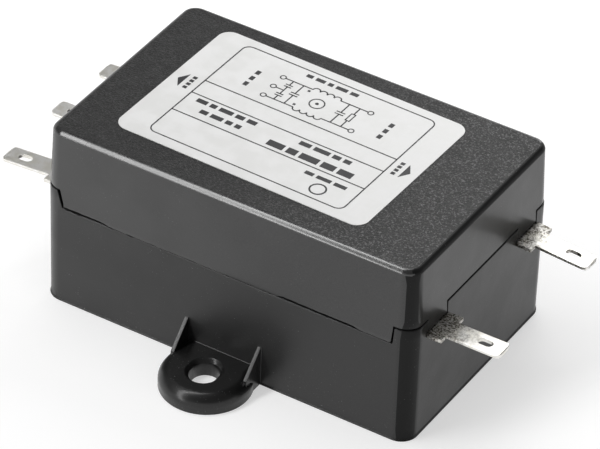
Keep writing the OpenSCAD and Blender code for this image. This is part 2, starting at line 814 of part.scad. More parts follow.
// Capacitor from the neutral side to earth
module neutral_y_capacitor() {
    color("#2f5fa8") translate([disc_cap_x, disc_cap_y, 0]) disc_capacitor();
}

// Discharge resistor: waisted body, and leads that bend down through the board
module bleed_resistor() {
    axis_z = board_top_z + stand_off + resistor_r;
    cap_l = resistor_l / 4;
    run_end = resistor_pitch / 2 - lead_bend_r;
    color("#c8b58c")
    translate([resistor_x, 0, 0]) {
        translate([0, 0, axis_z]) rotate([90, 0, 0]) {
            cylinder(r = resistor_r - resistor_waist, h = resistor_l, center = true);
            cylinder(r = lead_r, h = 2 * run_end, center = true);
            for (s = SIDES) translate([0, 0, s * (resistor_l - cap_l) / 2])
                cylinder(r = resistor_r, h = cap_l, center = true);
        }
        for (turn = [0, 180]) rotate([0, 0, turn]) {
            translate([0, run_end, axis_z - lead_bend_r])
                rotate([90, 0, 90])
                    rotate_extrude(angle = 90) translate([lead_bend_r, 0]) circle(lead_r);
            translate([0, resistor_pitch / 2, tail_z])
                cylinder(r = lead_r, h = axis_z - lead_bend_r - tail_z);
        }
    }
}

lower_case();
upper_cover();
label();
line_live_terminal();
line_neutral_terminal();
load_live_terminal();
load_earth_terminal();
load_neutral_terminal();
circuit_board();
copper_tracks();
solder_joints();
choke_core();
choke_divider();
live_winding();
neutral_winding();
line_x_capacitor();
load_x_capacitor();
live_y_capacitor();
neutral_y_capacitor();
bleed_resistor();
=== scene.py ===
"""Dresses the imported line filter: moulded case, printed label, tinned tabs, studio."""

import math

import bmesh
import bpy
import numpy as np
from mathutils import Matrix


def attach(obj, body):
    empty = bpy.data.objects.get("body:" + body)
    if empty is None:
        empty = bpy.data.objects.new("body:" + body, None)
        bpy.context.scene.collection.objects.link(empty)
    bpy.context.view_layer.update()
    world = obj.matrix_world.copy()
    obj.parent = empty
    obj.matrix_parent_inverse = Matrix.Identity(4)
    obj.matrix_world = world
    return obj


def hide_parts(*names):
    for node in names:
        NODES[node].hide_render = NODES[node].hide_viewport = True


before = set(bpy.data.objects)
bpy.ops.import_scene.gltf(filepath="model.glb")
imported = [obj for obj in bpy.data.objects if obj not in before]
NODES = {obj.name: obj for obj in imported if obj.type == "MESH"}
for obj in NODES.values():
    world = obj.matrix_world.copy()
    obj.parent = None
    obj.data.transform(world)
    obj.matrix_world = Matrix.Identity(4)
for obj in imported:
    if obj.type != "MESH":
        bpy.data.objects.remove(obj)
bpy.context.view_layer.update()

MM = 0.001
SCENE = bpy.context.scene

# Camera: angles in degrees, distances in metres. The axes are its right, up and back.
CAMERA_AZIMUTH = 30.6052
CAMERA_ELEVATION = 37.4598
CAMERA_ROLL = 2.1928
CAMERA_DISTANCE = 0.586506
CAMERA_SHIFT = (-0.000834, -0.009185)
CAMERA_LENS = 287.16
SENSOR_WIDTH = 36.0


def make_camera():
    """Sets the camera on the ray given by azimuth and elevation, rolled about that ray."""
    azimuth, elevation, roll = map(
        math.radians, (CAMERA_AZIMUTH, CAMERA_ELEVATION, CAMERA_ROLL)
    )
    back = np.array([
        math.sin(azimuth) * math.cos(elevation),
        -math.cos(azimuth) * math.cos(elevation),
        math.sin(elevation),
    ])
    level = np.array([math.cos(azimuth), math.sin(azimuth), 0.0])
    rise = np.cross(back, level)
    right = math.cos(roll) * level + math.sin(roll) * rise
    up = math.cos(roll) * rise - math.sin(roll) * level
    place = CAMERA_DISTANCE * back - CAMERA_SHIFT[0] * right - CAMERA_SHIFT[1] * up
    data = bpy.data.cameras.new("camera")
    data.lens = CAMERA_LENS
    data.sensor_width = SENSOR_WIDTH
    data.sensor_fit = "HORIZONTAL"
    data.clip_start = 0.01
    camera = bpy.data.objects.new("camera", data)
    columns = np.column_stack([right, up, back, place])
    camera.matrix_world = Matrix(np.vstack([columns, [0, 0, 0, 1]]).tolist())
    SCENE.collection.objects.link(camera)
    SCENE.camera = camera


make_camera()


# ---------------------------------------------------------------- materials


class Shader:
    """A small writer of node trees around one Principled shader."""

    def __init__(self, name):
        self.material = bpy.data.materials.new(name)
        self.material.use_nodes = True
        self.tree = self.material.node_tree
        self.main = self.tree.nodes["Principled BSDF"]
        self.place = self.tree.nodes.new("ShaderNodeTexCoord").outputs["Object"]

    def node(self, kind, **values):
        """A new node of a kind, with its properties set."""
        made = self.tree.nodes.new(kind)
        for key, value in values.items():
            setattr(made, key, value)
        return made

    def join(self, source, socket):
        """Links a socket, or sets a plain value."""
        if isinstance(source, bpy.types.NodeSocket):
            self.tree.links.new(source, socket)
        else:
            socket.default_value = source

    def noise(self, grain_mm, detail=3.0, rough=0.5, stretch=(1, 1, 1)):
        """Noise whose grains are about grain_mm across."""
        mapping = self.node("ShaderNodeMapping")
        mapping.inputs["Scale"].default_value = stretch
        self.join(self.place, mapping.inputs["Vector"])
        made = self.node("ShaderNodeTexNoise")
        made.inputs["Scale"].default_value = 1 / (grain_mm * MM)
        made.inputs["Detail"].default_value = detail
        made.inputs["Roughness"].default_value = rough
        self.join(mapping.outputs[0], made.inputs["Vector"])
        return made.outputs["Fac"]

    def span(self, value, low, high, to_low=0.0, to_high=1.0, smooth=True):
        """Carries low..high to to_low..to_high, held at both ends."""
        made = self.node("ShaderNodeMapRange")
        made.interpolation_type = "SMOOTHSTEP" if smooth else "LINEAR"
        for key, part in zip(range(5), (value, low, high, to_low, to_high)):
            self.join(part, made.inputs[key])
        return made.outputs[0]

    def sum(self, kind, first, second=0.0):
        """One sum of two values, such as ADD, MULTIPLY or MAXIMUM."""
        made = self.node("ShaderNodeMath", operation=kind)
        self.join(first, made.inputs[0])
        self.join(second, made.inputs[1])
        return made.outputs[0]

    def blend(self, amount, first, second):
        """A colour between first and second."""
        made = self.node("ShaderNodeMix", data_type="RGBA")
        self.join(amount, made.inputs[0])
        for colour, socket in ((first, made.inputs[6]), (second, made.inputs[7])):
            self.join(colour if isinstance(colour, bpy.types.NodeSocket) else (*colour, 1), socket)
        return made.outputs[2]

    def axis(self, index):
        """One coordinate of the place, in metres."""
        made = self.node("ShaderNodeSeparateXYZ")
        self.join(self.place, made.inputs[0])
        return made.outputs[index]

    def bump(self, height, depth_mm, strength=1.0, under=None):
        """Relief depth_mm deep that follows height, on top of another relief."""
        made = self.node("ShaderNodeBump")
        made.inputs["Strength"].default_value = strength
        made.inputs["Distance"].default_value = depth_mm * MM
        self.join(height, made.inputs["Height"])
        if under is not None:
            self.join(under, made.inputs["Normal"])
        return made.outputs[0]

    def finish(self, colour, roughness, normal=None, **plain):
        """Joins all to the main shader; plain values are set on its own sockets."""
        self.join(
            colour if isinstance(colour, bpy.types.NodeSocket) else (*colour, 1),
            self.main.inputs["Base Color"],
        )
        self.join(roughness, self.main.inputs["Roughness"])
        if normal is not None:
            self.join(normal, self.main.inputs["Normal"])
        for key, value in plain.items():
            self.main.inputs[key.replace("_", " ")].default_value = value
        return self.material


def simple_material(name, colour, other, grain_mm, rough, depth_mm, **plain):
    """Two colours mottled by noise, roughness that follows it, and a fine grain in relief."""
    s = Shader(name)
    mottle = s.span(s.noise(grain_mm * 8), 0.35, 0.65)
    grain = s.noise(grain_mm)
    return s.finish(
        s.blend(mottle, colour, other),
        s.span(mottle, 0, 1, rough - 0.05, rough + 0.08, smooth=False),
        s.bump(grain, depth_mm),
        **plain,
    )


def moulded_plastic(name, shade, rough, gloss, coat, coat_rough=0.2, painted_sheen=(0, 1, 0.0), speck=0.3):
    """Moulded black plastic: faint flow clouds, drag lines, pale specks, and a painted sheen that
    lightens it towards one end along X.
    Gloss is the level of the body's own shine and coat the weight of the clear skin on it.
    The painted sheen gives where along X, in millimetres, it starts and ends, and the shade it adds
    there."""
    s = Shader(name)
    cloud = s.span(s.noise(7.0, 4.0), 0.3, 0.7)
    drag = s.noise(0.5, 2.0, stretch=(1, 1, 0.06))
    fine = s.noise(0.11, 2.0)
    specks = s.span(s.noise(0.16, 1.0), 0.72, 0.77)
    patch = s.span(s.noise(2.4, 3.0), 0.45, 0.6)
    colour = s.blend(cloud, [shade * part for part in (0.8, 0.8, 0.82)], [shade * 1.3] * 3)
    colour = s.blend(s.span(fine, 0.35, 0.65), colour, s.blend(0.7, colour, [shade * 2.2] * 3))
    # Painted sheen: lighter towards one end along X, standing in for the light that falls there.
    start, end, more = painted_sheen
    cloudy_x = s.sum("ADD", s.axis(0), s.span(cloud, 0, 1, -0.004, 0.004))
    sheen_mask = s.span(cloudy_x, start * MM, end * MM)
    colour = s.blend(sheen_mask, colour, [shade + more] * 3)
    specked = s.sum("MULTIPLY", s.sum("MULTIPLY", specks, patch), speck)
    colour = s.blend(specked, colour, [0.3] * 3)
    roughness = s.span(cloud, 0, 1, rough - 0.04, rough + 0.06, smooth=False)
    relief = s.bump(fine, 0.006)
    relief = s.bump(drag, 0.005, 0.5, relief)
    relief = s.bump(cloud, 0.03, 0.6, relief)
    return s.finish(
        colour, roughness, relief,
        Specular_IOR_Level=gloss, Coat_Weight=coat, Coat_Roughness=coat_rough,
    )


def grained_plastic(name, shade, rough):
    """Moulded black plastic from a spark-eroded tool: worm-like grain a fifth of a millimetre
    wide with pale crests; the crests and a painted sheen grow towards the line end, partly real
    wear and partly painted light."""
    s = Shader(name)
    grain = s.span(s.noise(0.3, 3.0, 0.7), 0.38, 0.62)
    coarse = s.noise(1.6, 2.0)
    crest = s.span(s.noise(0.22, 2.0, 0.7), 0.5, 0.68)
    # Partly real wear, partly a painted sheen that lightens the roof towards the line end.
    wear_and_sheen = s.span(s.sum("ADD", s.axis(0), s.span(coarse, 0.2, 0.8, -0.006, 0.006)), -0.012, 0.03)
    colour = s.blend(grain, [shade * 0.6] * 3, [shade * 2.0] * 3)
    pale = s.span(wear_and_sheen, 0.0, 1.0, 0.16, 0.8)
    colour = s.blend(s.sum("MULTIPLY", crest, pale), colour, (0.24, 0.24, 0.24))
    # Painted sheen: the roof lightened towards the line end.
    colour = s.blend(s.sum("MULTIPLY", wear_and_sheen, 0.3), colour, (0.045, 0.045, 0.045))
    roughness = s.span(coarse, 0.3, 0.7, rough - 0.05, rough + 0.06)
    relief = s.bump(grain, 0.03)
    relief = s.bump(coarse, 0.02, 0.5, relief)
    return s.finish(colour, roughness, relief, Specular_IOR_Level=0.4)


def tinned_metal(name, dark_from=None, dark_to=None):
    """Dull tin plate: fine grain, cloudy roughness and an optional dark brown mottle that fades out
    along X: painted reflection of the dark case wall at a tab's root, painted shade with bare metal
    on sheared edges.
    """
    s = Shader(name)
    grain = s.noise(0.12, 3.0, 0.6)
    cloud = s.span(s.noise(1.1, 3.0), 0.35, 0.65)
    colour = s.blend(cloud, (0.80, 0.78, 0.72), (0.88, 0.87, 0.84))
    if dark_from is not None:
        # Painted reflection and shade: dark brown up to dark_from, fading out by dark_to.
        edge = s.sum("ADD", s.axis(0), s.span(s.noise(0.9, 4.0), 0.3, 0.7, -0.0012, 0.0012))
        darkening = s.span(edge, dark_from * MM, dark_to * MM, 1.0, 0.0)
        mottled = s.sum("MULTIPLY", darkening, s.span(s.noise(0.25, 3.0, 0.7), 0.42, 0.58, 0.35, 1.0))
        colour = s.blend(mottled, colour, (0.07, 0.06, 0.045))
    roughness = s.span(grain, 0.3, 0.7, 0.28, 0.5)
    return s.finish(colour, roughness, s.bump(grain, 0.012), Metallic=1.0)


# The case's long sides carry a painted sheen, lighter towards the load end: painted light.
CASE_SIDE = moulded_plastic(
    "case_side_plastic", shade=0.008, rough=0.4, gloss=0.3, coat=0.4, coat_rough=0.28,
    painted_sheen=(4, -26, 0.016), speck=0.8,
)
CASE_END = moulded_plastic("case_end_plastic", shade=0.007, rough=0.35, gloss=0.15, coat=0.36)
# Pale copy on the gussets' upward faces: a painted highlight.
GUSSET_HIGHLIGHT_PLASTIC = moulded_plastic("gusset_painted_highlight", shade=0.09, rough=0.5, gloss=0.4, coat=0.2)
# The cover's long sides are painted a lighter shade than its ends, with a painted sheen towards the
# load end: painted light.
COVER_SIDE = moulded_plastic(
    "cover_side_plastic", shade=0.014, rough=0.45, gloss=0.5, coat=0.35, coat_rough=0.25,
    painted_sheen=(14, -26, 0.028),
)
COVER_END = moulded_plastic("cover_end_plastic", shade=0.008, rough=0.35, gloss=0.2, coat=0.5)
EDGE_PLASTIC = moulded_plastic(
    "bright_edge_plastic", shade=0.012, rough=0.25, gloss=0.5, coat=1.0, coat_rough=0.15
)
# Dull copy on the line end's front corner and the round over it, darker as painted shade.
DULL_SHADED_PLASTIC = moulded_plastic("dull_shaded_plastic", shade=0.007, rough=0.45, gloss=0.08, coat=0.2)
EAR_PLASTIC = moulded_plastic(
    "ear_plastic", shade=0.006, rough=0.38, gloss=0.2, coat=0.6, coat_rough=0.22, speck=0.8
)
GRAINED = grained_plastic("grained_cover_plastic", shade=0.005, rough=0.5)
TIN = tinned_metal("tin_plate")
# The line tabs' roots carry a painted reflection of the dark case wall.
TIN_PAINTED_REFLECTION = tinned_metal("tin_plate_painted_reflection", dark_from=27.0, dark_to=32.5)
TIN_ROOT_PAINTED_REFLECTION = tinned_metal("tin_plate_root_painted_reflection", dark_from=26.6, dark_to=29.6)
# Sheared edges painted dark: partly bare cut metal, partly painted shade.
SHADED_CUT_EDGE = tinned_metal("shaded_sheared_edge", dark_from=34.0, dark_to=36.0)
FILM = simple_material(
    "label_film", (0.76, 0.76, 0.75), (0.80, 0.80, 0.795), grain_mm=0.3, rough=0.38,
    depth_mm=0.003,
)
INK = simple_material(
    "label_ink", (0.018, 0.018, 0.02), (0.03, 0.03, 0.032), grain_mm=0.2, rough=0.5,
    depth_mm=0.003,
)

# Finishes inside the case: two colours, grain in millimetres, roughness, depth of the grain in
# millimetres, and values of further shader sockets
METAL = {"Metallic": 1.0}
ENAMELLED_WIRE = (
    (0.28, 0.08, 0.015), (0.42, 0.14, 0.03), 0.3, 0.25, 0.01, {"Coat_Weight": 0.6}
)
BOX_CAPACITOR = ((0.52, 0.39, 0.05), (0.62, 0.48, 0.09), 0.2, 0.45, 0.01, {})
DISC_CAPACITOR = ((0.02, 0.09, 0.32), (0.04, 0.13, 0.44), 0.4, 0.25, 0.01, {})
INNER_FINISHES = {
    "circuit_board": ((0.42, 0.32, 0.12), (0.50, 0.39, 0.17), 0.2, 0.5, 0.01, {}),
    "copper_tracks": ((0.48, 0.17, 0.07), (0.60, 0.25, 0.11), 0.3, 0.35, 0.01, METAL),
    "solder_joints": ((0.55, 0.56, 0.58), (0.68, 0.69, 0.71), 0.2, 0.3, 0.01, METAL),
    "choke_core": ((0.03, 0.035, 0.04), (0.05, 0.055, 0.06), 0.2, 0.6, 0.02, {}),
    "choke_divider": ((0.62, 0.57, 0.43), (0.72, 0.67, 0.53), 0.3, 0.5, 0.01, {}),
    "live_winding": ENAMELLED_WIRE,
    "neutral_winding": ENAMELLED_WIRE,
    "line_x_capacitor": BOX_CAPACITOR,
    "load_x_capacitor": BOX_CAPACITOR,
    "live_y_capacitor": DISC_CAPACITOR,
    "neutral_y_capacitor": DISC_CAPACITOR,
    "bleed_resistor": ((0.52, 0.41, 0.22), (0.64, 0.52, 0.31), 0.3, 0.3, 0.01, {}),
}


def dress_inner_nodes():
    """Gives every sealed inner node its own finish."""
    for node, (colour, other, grain, rough, depth, plain) in INNER_FINISHES.items():
        finish = simple_material(node + "_finish", colour, other, grain, rough, depth, **plain)
        data = NODES[node].data
        data.materials.clear()
        data.materials.append(finish)


dress_inner_nodes()


# ---------------------------------------------------------------- shapes


def link_piece(name, data, node=None):
    """Puts a mesh in the scene as a piece on the root body."""
    piece = bpy.data.objects.new(name, data)
    SCENE.collection.objects.link(piece)
    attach(piece, "root")
    if node:
        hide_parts(node)
    return piece


def welded_copy(node, flat_angle=0.05):
    """The node's triangles welded together, with level neighbours merged into one face."""
    made = bmesh.new()
    made.from_mesh(NODES[node].data)
    bmesh.ops.remove_doubles(made, verts=made.verts, dist=2e-6)
    bmesh.ops.dissolve_limit(
        made, angle_limit=math.radians(flat_angle), verts=made.verts, edges=made.edges
    )
    return made


def soften(piece, width_mm, segments=2, angle=32.0):
    """Rounds every sharp edge by width_mm, and lets the largest face at each corner set the
    shading there, so that level walls look level."""
    bevel = piece.modifiers.new("edge", "BEVEL")
    bevel.width = width_mm * MM
    bevel.segments = segments
    bevel.limit_method = "ANGLE"
    bevel.angle_limit = math.radians(angle)
    bevel.harden_normals = True
    bevel.use_clamp_overlap = False
    even = piece.modifiers.new("level_faces", "WEIGHTED_NORMAL")
    even.mode = "FACE_AREA"
    even.weight = 100
    even.keep_sharp = True


def moulded_piece(name, node, materials, edge_mm, choose=None, shape=None):
    """A welded copy of a node with softened edges; choose(face) gives each face's material, and
    shape(mesh) works it over first."""
    made = welded_copy(node)
    if shape:
        shape(made)
    for face in made.faces:
        face.smooth = True
        face.material_index = choose(face) if choose else 0
    data = bpy.data.meshes.new(name)
    made.to_mesh(data)
    made.free()
    for material in materials:
        data.materials.append(material)
    piece = link_piece(name, data, node)
    soften(piece, edge_mm)
    return piece


# Faces are told apart by their middle, in millimetres: the cover's roof lies above the first
# level, the ears stand out past the wall's face, and their gussets rise above the ears' tops.
ROOF_FROM, EAR_FROM, GUSSET_FROM = 25.1, 16.5, 2.5


def cover_finish(face):
    """The cover's flat roof is grained, the round over the long sides is bright, the long sides are
    painted a lighter shade than the ends, the round over the line end and the upright corner beside
    it are dull and darker as painted shade, and the ends are glossy."""
    x, y, z = face.normal
    if z > 0.99 and face.calc_center_median().z > ROOF_FROM * MM:
        return 1
    if z > 0.12 and abs(y) > abs(x):
        return 2
    # Dull copy on the round over the line end and the corner beside it: painted shade.
    if (z > 0.12 and x > 0) or (x > 0.3 and y < -0.3):
        return 3
    return 4 if abs(x) > 0.7 else 0


def base_finish(face):
    """The ears have their own finish but for their gussets' upward faces, painted pale as a
    highlight, the front corner at the line end is dull and darker as painted shade, and the ends
    are glossy."""
    x, y, z = face.normal
    middle = face.calc_center_median()
    if abs(middle.y) > EAR_FROM * MM:
        return 4 if middle.z > GUSSET_FROM * MM and z > 0.4 else 1
    # Dull copy at the line end's front corner: painted shade.
    if x > 0.3 and y < -0.3 and abs(z) < 0.5:
        return 2
    return 3 if abs(x) > 0.7 else 0


# The seam along the long sides, in millimetres: its two levels, how far it runs each way, the
# length of the runs it is cut into, the height of the strip that is cut, how far out its edges
# lie on each half, and the walls' drafts in degrees
SEAM_LOW, SEAM_HIGH = 14.3, 14.5
SEAM_REACH = 22.9
SEAM_PITCH = 0.4
SEAM_STRIP = 0.5
COVER_EDGE_OUT, CASE_EDGE_OUT = 14.0, 16.0
COVER_DRAFT, BASE_DRAFT = 2.0, 0.3

# The top of the cover's step at the load end, and how far along X it moves
STEP_FROM, STEP_TOP = -23.2, 16.9
STEP_SHIFT = -0.35

# Where along X the seam gapes at the front, how far it gapes at the back as a share of that,
# and how far the cover's edge moves: where the seam is shut, more where it gapes, and in waves
OPEN_STRETCHES = ((-23.0, -17.2), (8.0, 18.0))
BACK_OPENING = 0.3
SHUT_RISE, OPEN_RISE, WAVE_RISE = -0.14, 0.24, 0.05

# Chips in the lower case's edge: how deep, and deeper at the front up to this X
CHIP_DEPTH, DEEP_CHIP_DEPTH, DEEP_CHIPS_TO = 0.1, 0.3, -9


def seam_wave(x, seed):
    """A sum of four sines along X, from -1 to 1, that stands for an uneven moulded edge."""
    rates = np.array([0.9, 2.3, 4.1, 7.7])
    return np.mean([math.sin(rate * x + seed * (k + 1.7)) for k, rate in enumerate(rates)])


def window(x, start, end, soft=0.8):
    """1 between start and end, falling to 0 over the soft length outside."""
    return float(np.clip((x - start) / soft + 1, 0, 1) * np.clip((end - x) / soft + 1, 0, 1))


def cover_edge_rise(x, y):
    """How far the cover's lower edge moves up: open in two stretches of the front, else shut."""
    opened = max(window(x, *ends) for ends in OPEN_STRETCHES) if y < 0 else BACK_OPENING
    return SHUT_RISE + OPEN_RISE * opened + WAVE_RISE * seam_wave(x, 1.0 + np.sign(y))


def case_edge_rise(x, y):
    """How far the lower case's outer edge moves: small chips, mostly at the front's left."""
    chips = max(0.0, seam_wave(x, 5.0) - 0.1)
    return -chips * (DEEP_CHIP_DEPTH if y < 0 and x < DEEP_CHIPS_TO else CHIP_DEPTH)


def roughen_seam(made, level, strip, draft, rise, edge_out):
    """Cuts a strip of the long walls beside the edge at level into short runs along X, and
    moves that edge by rise(x, y) up the wall, which leans in by draft degrees. The strip's
    height is below zero where it lies under the edge, and edge_out is how far out the edge
    lies at least."""
    low, near = (level - 0.02) * MM, (level + 0.02) * MM
    slope = math.tan(math.radians(draft))

    def at_level(vert):
        return low < vert.co.z < near and abs(vert.co.y) > edge_out * MM

    def cut(place, normal):
        faces = [f for f in made.faces if any(at_level(v) for v in f.verts)]
        parts = {v for f in faces for v in f.verts} | {e for f in faces for e in f.edges}
        bmesh.ops.bisect_plane(
            made, geom=list(parts) + faces, plane_co=place, plane_no=normal, dist=1e-6
        )

    cut((0, 0, (level + strip) * MM), (0, 0, 1))
    for x in np.arange(-SEAM_REACH, SEAM_REACH + SEAM_PITCH / 2, SEAM_PITCH):
        cut((x * MM, 0, 0), (1, 0, 0))
    for vert in made.verts:
        if at_level(vert) and abs(vert.co.x) < (SEAM_REACH + 0.01) * MM:
            step = rise(vert.co.x / MM, vert.co.y) * MM
            vert.co.z += step
            vert.co.y -= math.copysign(step * slope, vert.co.y)


def cover_shape(made):
    """The cover's uneven lower edge, and its step at the load end closer to the case's."""
    roughen_seam(made, SEAM_HIGH, SEAM_STRIP, COVER_DRAFT, cover_edge_rise, COVER_EDGE_OUT)
    for vert in made.verts:
        x, z = vert.co.x / MM, vert.co.z / MM
        if abs(x - STEP_FROM) < 0.05 and abs(z - STEP_TOP) < 0.05:
            vert.co.x += STEP_SHIFT * MM


def case_shape(made):
    """The lower case's chipped outer edge."""
    roughen_seam(made, SEAM_LOW, -SEAM_STRIP, -BASE_DRAFT, case_edge_rise, CASE_EDGE_OUT)


def cut_edge_faces(face):
    """The sheared sides of a tab are painted darker than its rolled faces, partly as bare cut metal
    and partly as painted shade.
    """
    return 1 if abs(face.normal.z) < 0.5 else 0


# Widths of the softened edges, in millimetres
CASE_EDGE, COVER_EDGE, TAB_EDGE = 0.08, 0.06, 0.03

moulded_piece(
    "moulded_lower_case", "lower_case",
    [CASE_SIDE, EAR_PLASTIC, DULL_SHADED_PLASTIC, CASE_END, GUSSET_HIGHLIGHT_PLASTIC],
    CASE_EDGE, base_finish, case_shape,
)
moulded_piece(
    "moulded_cover", "upper_cover",
    [COVER_SIDE, GRAINED, EDGE_PLASTIC, DULL_SHADED_PLASTIC, COVER_END],
    COVER_EDGE, cover_finish, cover_shape,
)

TABS = {
    "line_live_terminal": TIN_PAINTED_REFLECTION,
    "line_neutral_terminal": TIN_ROOT_PAINTED_REFLECTION,
    "load_live_terminal": TIN,
    "load_earth_terminal": TIN,
    "load_neutral_terminal": TIN,
}
DARK_EDGED_TAB = "line_neutral_terminal"

for terminal, tin in TABS.items():
    moulded_piece(
        "tinned_" + terminal, terminal, [tin, SHADED_CUT_EDGE], TAB_EDGE,
        cut_edge_faces if terminal == DARK_EDGED_TAB else None,
    )


# Label: centre, size, corner radius and turn as the solid's, in millimetres and degrees, the
# levels of its underside, its face and its ink, and the width of a printed line
LABEL_PLACE = (-1.55, 0.75)
LABEL_SIZE = (35.3, 24.2)
LABEL_CORNER = 1.7
LABEL_TURN = -1.4
LABEL_LOW = 25.2
SHEET_TOP = 25.295
INK_TOP = 25.312
LINE = 0.17


class Print:
    """Collects closed flat plates on the label; each plate is an outline given a thickness."""

    def __init__(self):
        self.points, self.faces, self.inks, self.count = [], [], [], 0

    def plate(self, outline, low, high, ink):
        """A prism: the outline at the low level, again at the high one, and walls between."""
        outline = np.asarray(outline, float)
        n = len(outline)
        area = np.sum(outline[:, 0] * np.roll(outline[:, 1], -1)
                      - outline[:, 1] * np.roll(outline[:, 0], -1))
        if area < 0:
            outline = outline[::-1]
        self.points.append(np.column_stack([outline, np.full(n, low)]))
        self.points.append(np.column_stack([outline, np.full(n, high)]))
        k, j = np.arange(n), self.count
        walls = np.column_stack([k, (k + 1) % n, (k + 1) % n + n, k + n]) + j
        made = [list(row) for row in walls.tolist()]
        made += [(k[::-1] + j).tolist(), (k + n + j).tolist()]
        self.faces += made
        self.inks += [ink] * len(made)
        self.count += 2 * n

    def ring(self, centre, radius, width, low, high, start=0.0, end=360.0, steps=32):
        """A band of ink along an arc: its four-cornered section, carried round the centre from
        start to end degrees, with both ends closed unless it meets itself."""
        closed = abs(end - start) >= 360
        a = np.radians(np.linspace(start, end, steps + 1))
        if closed:
            a = a[:-1]
        inner, outer = radius - width / 2, radius + width / 2
        radii = np.array([inner, outer, outer, inner])
        levels = np.array([low, low, high, high])
        grid = np.stack([
            centre[0] + radii[None] * np.cos(a)[:, None],
            centre[1] + radii[None] * np.sin(a)[:, None],
            np.broadcast_to(levels, (len(a), 4)),
        ], axis=-1)
        self.points.append(grid.reshape(-1, 3))
        rows = len(a) if closed else len(a) - 1
        i, k = np.meshgrid(np.arange(rows), np.arange(4), indexing="ij")
        n = len(a)
        quads = np.stack([
            i * 4 + k, ((i + 1) % n) * 4 + k, ((i + 1) % n) * 4 + (k + 1) % 4, i * 4 + (k + 1) % 4
        ], axis=-1).reshape(-1, 4)[:, ::-1] + self.count
        made = quads.tolist()
        if not closed:
            last = (n - 1) * 4 + self.count
            made += [[self.count + k for k in range(4)], [last + k for k in range(3, -1, -1)]]
        self.faces += made
        self.inks += [1] * len(made)
        self.count += len(a) * 4

    def bar(self, x, y, length, height):
        """A rectangle of ink about its centre."""
        u, v = length / 2, height / 2
        self.plate(
            [(x - u, y - v), (x + u, y - v), (x + u, y + v), (x - u, y + v)],
            SHEET_TOP, INK_TOP, 1,
        )

    def line(self, start, end, width=LINE):
        """A straight stroke of ink between two points."""
        start, end = np.array(start, float), np.array(end, float)
        way = (end - start) / np.linalg.norm(end - start)
        side = np.array([-way[1], way[0]]) * width / 2
        self.plate([start - side, end - side, end + side, start + side], SHEET_TOP, INK_TOP, 1)

    def circle(self, centre, radius, width=LINE, **arc):
        """A round stroke of ink, or part of one."""
        self.ring(centre, radius, width, SHEET_TOP, INK_TOP, **arc)


def round_outline(length, width, radius, steps=10):
    """A rectangle whose corners are quarter circles, as a run of points."""
    a = np.radians(np.linspace(0, 90, steps))
    corners = []
    for k, (sx, sy) in enumerate([(1, 1), (-1, 1), (-1, -1), (1, -1)]):
        centre = np.array([sx * (length / 2 - radius), sy * (width / 2 - radius)])
        turned = a + math.pi / 2 * k
        corners.append(centre + radius * np.column_stack([np.cos(turned), np.sin(turned)]))
    return np.vstack(corners)


def frame_lines(p):
    """The printed frame with round corners, and the rules that split it into panels."""
    left, right, low, high, radius = -13.65, 13.85, -10.55, 10.75, 1.0
    middle = ((left + right) / 2, (low + high) / 2)
    u, v = (right - left) / 2 - radius, (high - low) / 2 - radius
    p.line((left, low + radius), (left, high - radius))
    p.line((right, low + radius), (right, high - radius))
    p.line((left + radius, low), (right - radius, low))
    p.line((left + radius, high), (right - radius, high))
    for k, (sx, sy) in enumerate([(1, 1), (-1, 1), (-1, -1), (1, -1)]):
        corner = (middle[0] + sx * u, middle[1] + sy * v)
        p.circle(corner, radius, start=90 * k, end=90 * k + 90, steps=8)
    for rule in (1.65, -1.25, -5.45):
        p.line((left, rule), (right, rule))


def arrows(p):
    """A solid triangle at each end, pointing out along the case."""
    for s in (-1, 1):
        p.plate(
            [(s * 16.65, 0.2), (s * 15.75, 1.65), (s * 15.75, -1.25)], SHEET_TOP, INK_TOP, 1
        )


def schematic(p):
    """The usual two-line filter drawn between five terminals."""
    live, neutral, earth, half = 7.7, 3.3, 5.5, 6.3
    for x, y in ((-half, live), (-half, neutral), (-half, earth), (half, live), (half, neutral)):
        p.circle((x, y), 0.36, 0.15, steps=20)
    for y, s in ((live, 1), (neutral, -1)):
        p.line((-half + 0.36, y), (-2.0, y))
        p.line((2.0, y), (half - 0.36, y))
        for k in range(4):
            p.circle(
                (-1.5 + k, y), 0.5, start=0 if s > 0 else 180, end=180 if s > 0 else 360, steps=10
            )
    p.circle((0, earth), 0.95, steps=28)
    p.circle((0, earth), 0.12, 0.24, steps=12)
    p.bar(-2.2, live - 0.55, 0.35, 0.35)
    p.bar(-2.2, neutral + 0.55, 0.35, 0.35)
    for x in (-3.3, 3.3):
        p.line((x, live), (x, earth + 0.22))
        p.line((x, neutral), (x, earth - 0.22))
        p.bar(x, earth + 0.22, 1.2, 0.17)
        p.bar(x, earth - 0.22, 1.2, 0.17)
    x = 4.8
    p.line((x, live), (x, earth + 0.75))
    p.line((x, neutral), (x, earth - 0.75))
    for s in (-1, 1):
        p.bar(x + s * 0.28, earth, 0.15, 1.5)
        p.bar(x, earth + s * 0.75, 0.7, 0.15)
    x = -4.8
    for s, y in ((1, live), (-1, neutral)):
        p.line((x, y), (x, earth + s * 1.25))
        p.line((x, earth), (x, earth + s * 0.85))
        p.bar(x, earth + s * 0.85, 1.0, 0.17)
        p.bar(x, earth + s * 1.25, 1.0, 0.17)
    p.line((x, earth), (-half + 0.36, earth))


